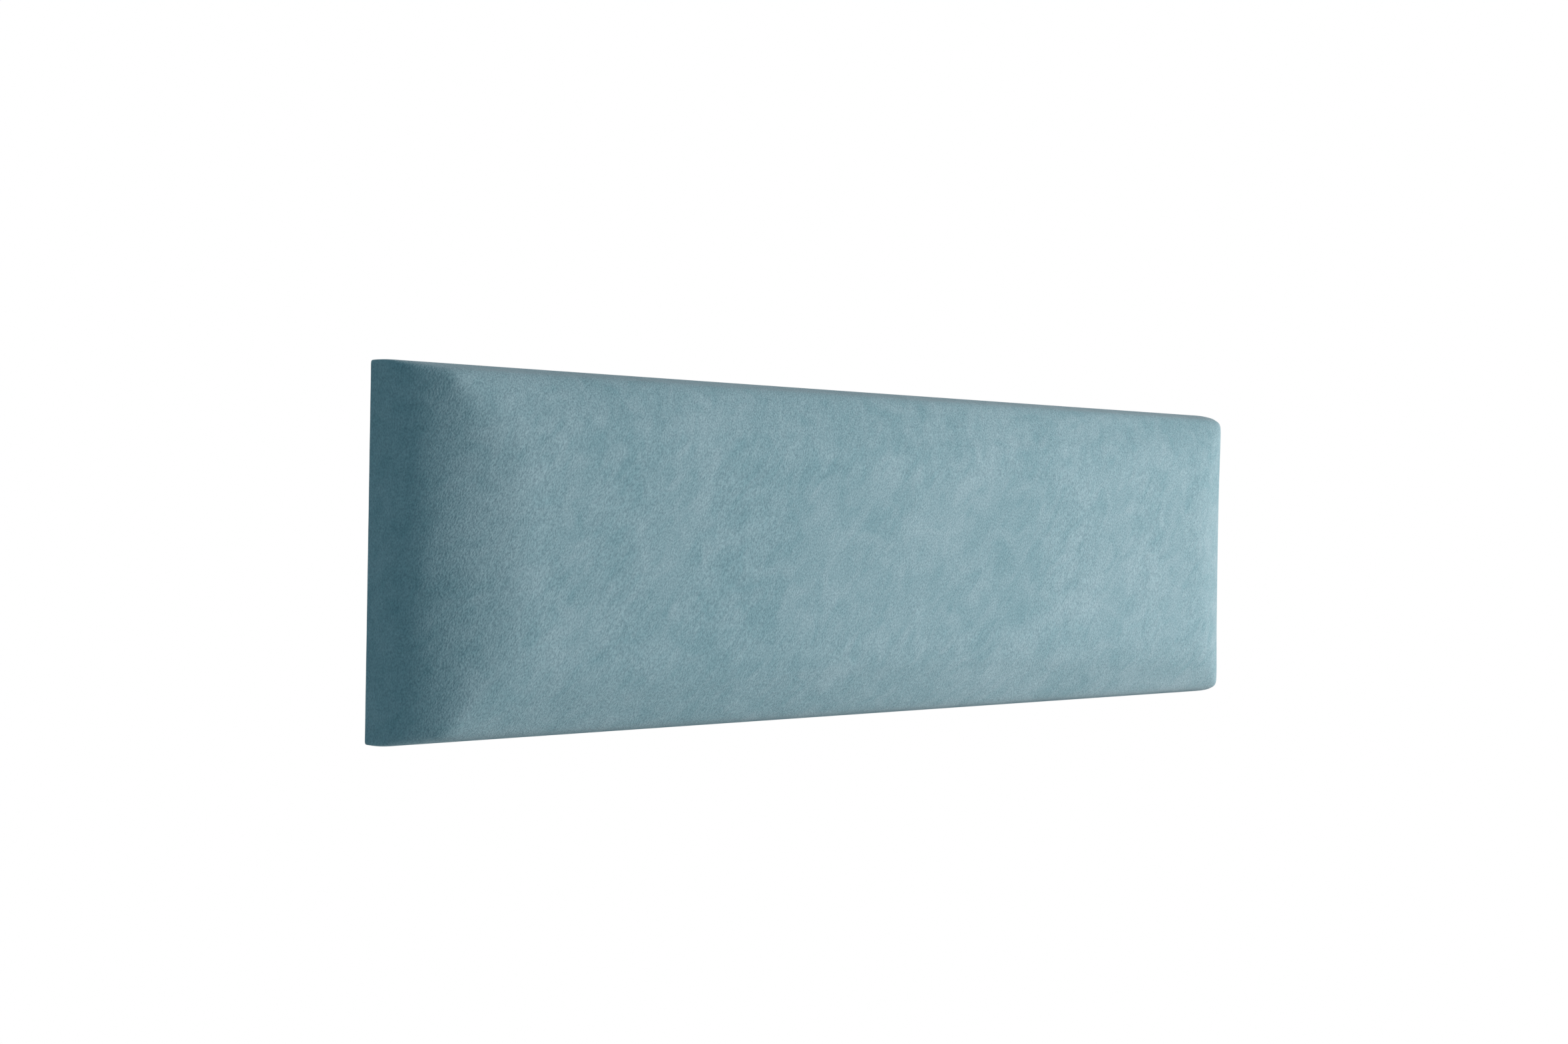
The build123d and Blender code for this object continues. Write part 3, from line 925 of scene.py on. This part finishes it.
def staple_middles(inset, pitch):
    """Where the staples' middles are, as (across, up)."""
    middles = []
    for x, z, count, turn in staple_rows(inset, pitch).values():
        steps = (np.arange(count) - (count - 1) / 2) * pitch
        middles += [(x + step, z) if turn == 0 else (x, z + step) for step in steps]
    return np.array(middles)


def dust_room(across, up, heights):
    """How far the dust cover may stand off the back at each place, and where it is held."""
    near_staple = np.full(len(across), 1.0)
    for middle_x, middle_up in staple_middles(dust_staple_inset, dust_staple_pitch):
        near_staple = np.minimum(near_staple, np.hypot(across - middle_x, up - middle_up))
    bumper_x = (bumper_low.x + bumper_high.x) / 2
    bumper_z = (bumper_low.z + bumper_high.z) / 2
    from_bumper = np.hypot(np.abs(across) - abs(bumper_x), heights - bumper_z)
    under_rails = np.abs(across) < panel_rail_high.x + rail_clear
    under_rails &= (heights > flat_foot) & (heights < flat_top)
    held = (near_staple < 5 * MM) | under_rails | (from_bumper < 14 * MM)
    past_rails = np.maximum(heights - flat_top, flat_foot - heights)
    past_rails = np.maximum(np.abs(across) - panel_rail_high.x, past_rails)
    room = dust_rise * smoothstep((near_staple - 4 * MM) / (9 * MM))
    room *= smoothstep((from_bumper - 13 * MM) / (8 * MM)) * smoothstep(past_rails / (12 * MM))
    return room, held


def dust_cover():
    """Thin black cloth stapled over the back: it lies over the turned-back border and sinks to the board."""
    halves = (dust_half_x, dust_half_z)
    x, z = np.meshgrid(*(np.linspace(-half, half, round(2 * half / sheet_cell) + 1) for half in halves))
    across, up = x.ravel(), z.ravel()
    inside = np.minimum(half_length - turn_in_w - np.abs(across), half_height - turn_in_w - np.abs(up))
    sunk = smoothstep((inside - sink_from) / sink_w)
    level = dust_high.y + (seat_y - dust_high.y) * sunk + fold_swell(across, up) * (1 - sunk)
    places = np.stack([across, level, up + middle_z], 1)
    faces = grid_faces(np.arange(len(across)).reshape(x.shape))
    sheet = mesh_object("dust_cover_cloth", places, [face[:1] + face[:0:-1] for face in faces])
    room, held = dust_room(across, up, places[:, 2])
    billow = np.abs(waves(places, 55 * MM, seed=31))
    started = places + np.stack([0 * across, 0.25 * MM * billow * ~held, 0 * across], 1)
    set_points(sheet.data, started)
    settled = simulate(sheet, held * 1.0, pressure=0.15, slack=0.012, stiffness=8, bending=0.05)
    billow = np.maximum(settled[:, 1] - places[:, 1], 0) / dust_rise
    places[:, 1] += room * np.tanh(billow)
    ragged = np.abs(dust_ragged * waves(places, 45 * MM, seed=33))
    places[:, 0] -= np.sign(across) * (np.abs(across) > dust_half_x - 1e-6) * ragged
    places[:, 2] -= np.sign(up) * (np.abs(up) > dust_half_z - 1e-6) * ragged
    set_points(sheet.data, places)
    subdivide(sheet)
    return thicken(sheet, dust_cover_t)


dust = dust_cover()
finish_piece(dust, "dust_cloth", "dust_cover")

# ---- staples, screws and bumpers


def lathe(name, profile, segments=40):
    """A solid of revolution about Z. A profile that starts and ends on the axis is closed with poles."""
    poles = profile[0][0] == 0 and profile[-1][0] == 0
    turned = profile[1:-1] if poles else profile
    places = []
    for radius, height in turned:
        places += [(radius * math.cos(angle), radius * math.sin(angle), height) for angle in turns(segments)]
    faces = ring_faces(len(turned), segments, closed=not poles)
    if poles:
        top, foot = len(places), len(places) + 1
        last = top - segments
        places += [(0, 0, profile[0][1]), (0, 0, profile[-1][1])]
        for step in range(segments):
            after = (step + 1) % segments
            faces += [(top, after, step), (foot, last + step, last + after)]
    made = mesh_object(name, places, faces)
    face_out(made)
    return made


def arc(centre_r, centre_h, radius, start, end, steps):
    """Points of a profile's round corner, by angles in degrees from outwards to up."""
    angles = np.radians(np.linspace(start, end, steps + 1))
    return [(centre_r + radius * math.cos(a), centre_h + radius * math.sin(a)) for a in angles]


def staple_template():
    """One staple: its crown lies along X at the origin, its legs go down to -Z."""
    width, leg, bend, wire_r = 10 * MM, 6 * MM, 0.8 * MM, 0.3 * MM
    half = width / 2 - wire_r
    bends = arc(-half + bend, -bend, bend, 180, 90, 2) + arc(half - bend, -bend, bend, 90, 0, 2)
    path = np.array([(-half, -leg), *bends, (half, -leg)])
    along = np.gradient(path, axis=0)
    along /= np.linalg.norm(along, axis=1)[:, None]
    places, sides = [], 6
    for (x, z), (run, rise) in zip(path, along):
        for angle in turns(sides, 0.5):
            out, flat = wire_r * 0.85 * math.cos(angle), wire_r * 1.05 * math.sin(angle)
            places.append((x - rise * out, flat, z + run * out))
    faces = ring_faces(len(path), sides)
    faces += [tuple(range(sides)), tuple(range(len(places) - sides, len(places)))]
    made = mesh_object("staple_template", places, faces)
    face_out(made)
    return made


def screw_template(name, head_r, head_h, shank_r, length=11 * MM, tip=2.5 * MM):
    """One pan-head wood screw with a cross recess: Z = 0 is under its head."""
    rim = head_h * 0.45
    angles = np.radians([22, 45, 63, 78, 90])
    dome = [(head_r * math.sin(a), rim + (head_h - rim) * math.cos(a)) for a in angles]
    under = [(head_r, 0.25 * MM), (head_r - 0.25 * MM, 0), (shank_r, 0), (shank_r, -0.5 * MM)]
    thread, height = [], -1.0 * MM
    while height > tip - length:
        thread += [(shank_r * 0.76, height), (shank_r, height - 0.5 * MM)]
        height -= 1.1 * MM
    point = [(shank_r * 0.7, tip - length), (0, -length)]
    screw = lathe(name, [(0, head_h), *dome, *under, *thread, *point], segments=24)
    cut = mesh_object("recess", *recess_shape(head_r * 0.62, 0.55 * MM, head_h, head_h * 0.75), smooth=False)
    face_out(cut)
    sink = screw.modifiers.new("recess", "BOOLEAN")
    sink.operation, sink.solver, sink.object = "DIFFERENCE", "EXACT", cut
    settle(screw)
    bpy.data.objects.remove(cut)
    screw.data.shade_smooth()
    screw.data.set_sharp_from_angle(angle=math.radians(32))
    return screw


def recess_shape(reach, half_w, top, depth):
    """A cross-shaped point: its arms narrow towards its foot."""
    high, low = top + 0.5 * MM, top - depth
    outline = []
    for quarter in range(4):
        turn = quarter * math.pi / 2
        for x, y in ((reach, -half_w), (reach, half_w), (half_w, half_w)):
            outline.append(
                (x * math.cos(turn) - y * math.sin(turn), x * math.sin(turn) + y * math.cos(turn))
            )
    upper = [(x, y, high) for x, y in outline]
    lower = [(x * 0.35, y * 0.35, low) for x, y in outline]
    count = len(outline)
    faces = [(i, (i + 1) % count, (i + 1) % count + count, i + count) for i in range(count)]
    return upper + lower, [*faces, tuple(range(count)), tuple(range(count, 2 * count))]


def row_tree():
    """Geometry nodes that set copies of a piece in a straight row, each a little out of true."""
    tree = bpy.data.node_groups.new("row_of_pieces", "GeometryNodeTree")
    sockets = {
        "Piece": "NodeSocketObject", "Material": "NodeSocketMaterial", "Count": "NodeSocketInt",
        "Pitch": "NodeSocketFloat", "Place": "NodeSocketVector", "Turn": "NodeSocketFloat",
        "Shift": "NodeSocketVector", "Tilt": "NodeSocketVector", "Seed": "NodeSocketInt",
    }
    for label, kind in sockets.items():
        tree.interface.new_socket(label, in_out="INPUT", socket_type=kind)
    tree.interface.new_socket("Geometry", in_out="OUTPUT", socket_type="NodeSocketGeometry")
    given = tree.nodes.new("NodeGroupInput").outputs
    step = node(tree, "ShaderNodeCombineXYZ", X=given["Pitch"]).outputs[0]
    back = maths(tree, "MULTIPLY", maths(tree, "SUBTRACT", given["Count"], 1.0), -0.5)
    start = node(tree, "ShaderNodeVectorMath", {"operation": "SCALE"}, Vector=step, Scale=back).outputs[0]
    line = node(tree, "GeometryNodeMeshLine", Count=given["Count"], Start_Location=start, Offset=step)
    shift = random_vector(tree, given["Shift"], given["Seed"])
    line = node(tree, "GeometryNodeSetPosition", Geometry=line.outputs[0], Offset=shift).outputs[0]
    piece = node(tree, "GeometryNodeObjectInfo", Object=given["Piece"]).outputs["Geometry"]
    tilt = random_vector(tree, given["Tilt"], maths(tree, "ADD", given["Seed"], 1.0))
    copies = node(tree, "GeometryNodeInstanceOnPoints", Points=line, Instance=piece, Rotation=tilt).outputs[0]
    turned = node(tree, "ShaderNodeCombineXYZ", X=math.radians(-90), Y=given["Turn"]).outputs[0]
    solid = node(tree, "GeometryNodeRealizeInstances", Geometry=copies).outputs[0]
    placed = node(tree, "GeometryNodeTransform", Geometry=solid, Translation=given["Place"], Rotation=turned)
    painted = node(tree, "GeometryNodeSetMaterial", Geometry=placed.outputs[0], Material=given["Material"])
    tree.links.new(painted.outputs[0], tree.nodes.new("NodeGroupOutput").inputs["Geometry"])
    return tree


def random_vector(tree, most, seed):
    """A random vector for each point, up to most either way."""
    least = node(tree, "ShaderNodeVectorMath", {"operation": "SCALE"}, Vector=most, Scale=-1.0).outputs[0]
    drawn = tree.nodes.new("FunctionNodeRandomValue")
    drawn.data_type = "FLOAT_VECTOR"
    for socket, value in zip(drawn.inputs, (least, most)):
        tree.links.new(value, socket)
    tree.links.new(seed, drawn.inputs["Seed"])
    return drawn.outputs[0]


ROWS = row_tree()


def row_of_pieces(name, **values):
    """A plain mesh of one row. Values are the tree's inputs by name."""
    row = mesh_object(name, [], [])
    maker = row.modifiers.new("row", "NODES")
    maker.node_group = ROWS
    for item in ROWS.interface.items_tree:
        if item.in_out == "INPUT":
            maker[item.identifier] = values[item.name]
    return settle(row)


def joined(parts):
    """One plain mesh from several. It keeps the first one's name."""
    mesh = bmesh.new()
    for part in parts:
        mesh.from_mesh(part.data)
    mesh.to_mesh(parts[0].data)
    mesh.free()
    for part in parts[1:]:
        bpy.data.objects.remove(part)
    return parts[0]


def staple_row(name, side, inset, pitch, crown_y, seed):
    """Staples along one side of the pad's back, each a little out of place and turned."""
    x, z, count, turn = staple_rows(inset, pitch)[side]
    return row_of_pieces(
        name, Piece=staple, Material=MATERIALS["staple_steel"], Count=count, Pitch=pitch,
        Place=(x, crown_y, z + middle_z), Turn=math.radians(turn), Seed=seed,
        Shift=(0.7 * MM, 0.35 * MM, 0.0), Tilt=(math.radians(2), math.radians(1), math.radians(2.5)),
    )


def screw_row(node_name, seed, count, head_r, head_h, shank_r):
    """Screws of one row, where the frame has them, each turned at random."""
    low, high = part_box(node_name)
    template = screw_template(f"{node_name}_template", head_r, head_h, shank_r)
    row = row_of_pieces(
        f"{node_name}_steel", Piece=template, Material=MATERIALS["screw_steel"], Count=count,
        Pitch=(high.x - low.x - 2 * head_r) / (count - 1), Place=(0, high.y - head_h, (low.z + high.z) / 2),
        Turn=0.0, Seed=seed, Shift=(0.0, 0.0, 0.0), Tilt=(0.0, 0.0, math.pi / 4),
    )
    bpy.data.objects.remove(template)
    return row


def bumper(side):
    """A tapered rubber disc with rounded rims, sunk for its screw."""
    low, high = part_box(f"bumper_{side}")
    base_r, foot_r, tall = (high.x - low.x) / 2, 9.5 * MM, high.y - low.y
    rim_r, sink_r, hole_r, sunk = 0.9 * MM, 3.8 * MM, 2.0 * MM, 2.5 * MM
    flat = tall - 0.3 * MM
    profile = [(hole_r, 0), (base_r - 0.3 * MM, 0), (base_r, 0.3 * MM)]
    profile += arc(foot_r - rim_r, tall - rim_r, rim_r, 8, 90, 6)
    profile += [(foot_r * 0.72, tall - 0.25 * MM), (foot_r * 0.6, flat), (sink_r + 0.4 * MM, flat)]
    profile += [(sink_r, tall - 0.7 * MM), (sink_r, tall - sunk), (hole_r, tall - sunk)]
    made = lathe(f"bumper_{side}_rubber", profile, segments=56)
    made.data.set_sharp_from_angle(angle=math.radians(38))
    place = Matrix.Translation(((low.x + high.x) / 2, low.y, (low.z + high.z) / 2))
    made.data.transform(place @ Matrix.Rotation(math.radians(-90), 4, "X"))
    return made


sides = ("top", "bottom", "left", "right")
crown_sink = 0.3 * MM
dust_crown_out = 0.22 * MM
rail_screws = {"count": 4, "head_r": 3.9 * MM, "head_h": 2.4 * MM, "shank_r": 2.0 * MM}
bumper_screws = {"count": 2, "head_r": 3.4 * MM, "head_h": 2.1 * MM, "shank_r": 1.75 * MM}

staple = staple_template()
for seed, side in enumerate(sides, 40):
    name = f"cover_staples_{side}"
    row = staple_row(f"{name}_wire", side, staple_inset, staple_pitch, back_y - crown_sink, seed)
    finish_piece(row, "staple_steel", name)
dust_row = (dust_staple_inset, dust_staple_pitch, dust_high.y + dust_crown_out)
rows = [staple_row("dust_cover_staples_wire", side, *dust_row, seed) for seed, side in enumerate(sides, 60)]
finish_piece(joined(rows), "staple_steel", "dust_cover_staples")
bpy.data.objects.remove(staple)

for name, seed, sizes in (("panel_rail_screws", 80, rail_screws), ("bumper_screws", 83, bumper_screws)):
    finish_piece(screw_row(name, seed, **sizes), "screw_steel", name)
for side in ("left", "right"):
    finish_piece(bumper(side), "bumper_rubber", f"bumper_{side}")

# ---- the frame's own pieces that stay

for name, slot in (
    ("backing_board", "plywood"),
    ("panel_rail", "rail_aluminium"),
    ("wall_rail", "rail_aluminium"),
    ("rail_liner", "liner_felt"),
):
    set_material(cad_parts[name], MATERIALS[slot])

# ---- camera, floor and light

camera_place = Vector((-1.0063, -1.0092, 0.0187))
yaw, pitch, roll = (math.radians(a) for a in (43.514, -0.209, 0.973))
camera = bpy.data.objects.new("camera", bpy.data.cameras.new("camera"))
camera.data.lens = 52.29
camera.data.sensor_width = 36
camera.matrix_world = Matrix.Translation(camera_place) @ Matrix.Rotation(-yaw, 4, "Z")
camera.matrix_world @= Matrix.Rotation(math.pi / 2 + pitch, 4, "X") @ Matrix.Rotation(roll, 4, "Z")
scene.collection.objects.link(camera)
scene.camera = camera


def studio_world():
    """White behind everything, and a softer, cooler light from all round."""
    world = bpy.data.worlds.new("studio")
    world.use_nodes = True
    tree = world.node_tree
    tree.nodes.clear()
    seen = node(tree, "ShaderNodeBackground", Color=(1, 1, 1, 1), Strength=1.0).outputs[0]
    light = node(tree, "ShaderNodeBackground", Color=(0.634, 0.902, 1, 1), Strength=0.533).outputs[0]
    choice = node(tree, "ShaderNodeMixShader", Fac=node(tree, "ShaderNodeLightPath").outputs["Is Camera Ray"])
    tree.links.new(light, choice.inputs[1])
    tree.links.new(seen, choice.inputs[2])
    tree.links.new(choice.outputs[0], node(tree, "ShaderNodeOutputWorld").inputs[0])
    return world


def soft_light(name, place, aim, width, height, power, colour):
    data = bpy.data.lights.new(name, "AREA")
    data.shape = "RECTANGLE"
    data.size, data.size_y, data.energy, data.color = width, height, power, colour
    lamp = bpy.data.objects.new(name, data)
    lamp.location = place
    lamp.rotation_euler = (Vector(aim) - Vector(place)).to_track_quat("-Z", "Y").to_euler()
    lamp.visible_camera = False
    scene.collection.objects.link(lamp)


def floor():
    """A round pale floor, well below the panel, that fades out at its rim."""
    rim, drop, segments = 3.2, -1.1, 96
    places = [(rim * math.cos(angle), rim * math.sin(angle), drop) for angle in turns(segments)]
    made = mesh_object("floor", places, [range(segments)])
    pale, tree, shader = surface("floor", Base_Color=(0.74, 0.73, 0.72, 1), Roughness=0.8)
    place = node(tree, "ShaderNodeTexCoord").outputs["Object"]
    flat = vector_maths(tree, "MULTIPLY", place, (1, 1, 0))
    out = node(tree, "ShaderNodeVectorMath", {"operation": "LENGTH"}, Vector=flat).outputs["Value"]
    wire(tree, shader, Alpha=spread(tree, out, 0.9, rim - 0.05, 1, 0))
    set_material(made, pale)


scene.world = studio_world()
floor()
soft_light(
    "side", place=(1.6, -0.16, 0), aim=(0.35, 0, 0), width=0.4, height=0.6, power=8, colour=(1, 0.88, 0.84)
)
soft_light(
    "key", place=(0.85, -1.4, 0.25), aim=(0.05, 0, 0), width=0.9, height=0.9, power=48.5,
    colour=(1, 0.82, 0.76),
)

# ---- how long the cloth is cut, and the end


def cut_size(section):
    """How long the cloth is cut: the way round a section, and a border turned back at each end."""
    line = section.outline()
    return 2 * (float(np.linalg.norm(np.diff(line, axis=0), axis=1).sum()) + turn_in_w)


cut_size(ends)
cut_size(edges)
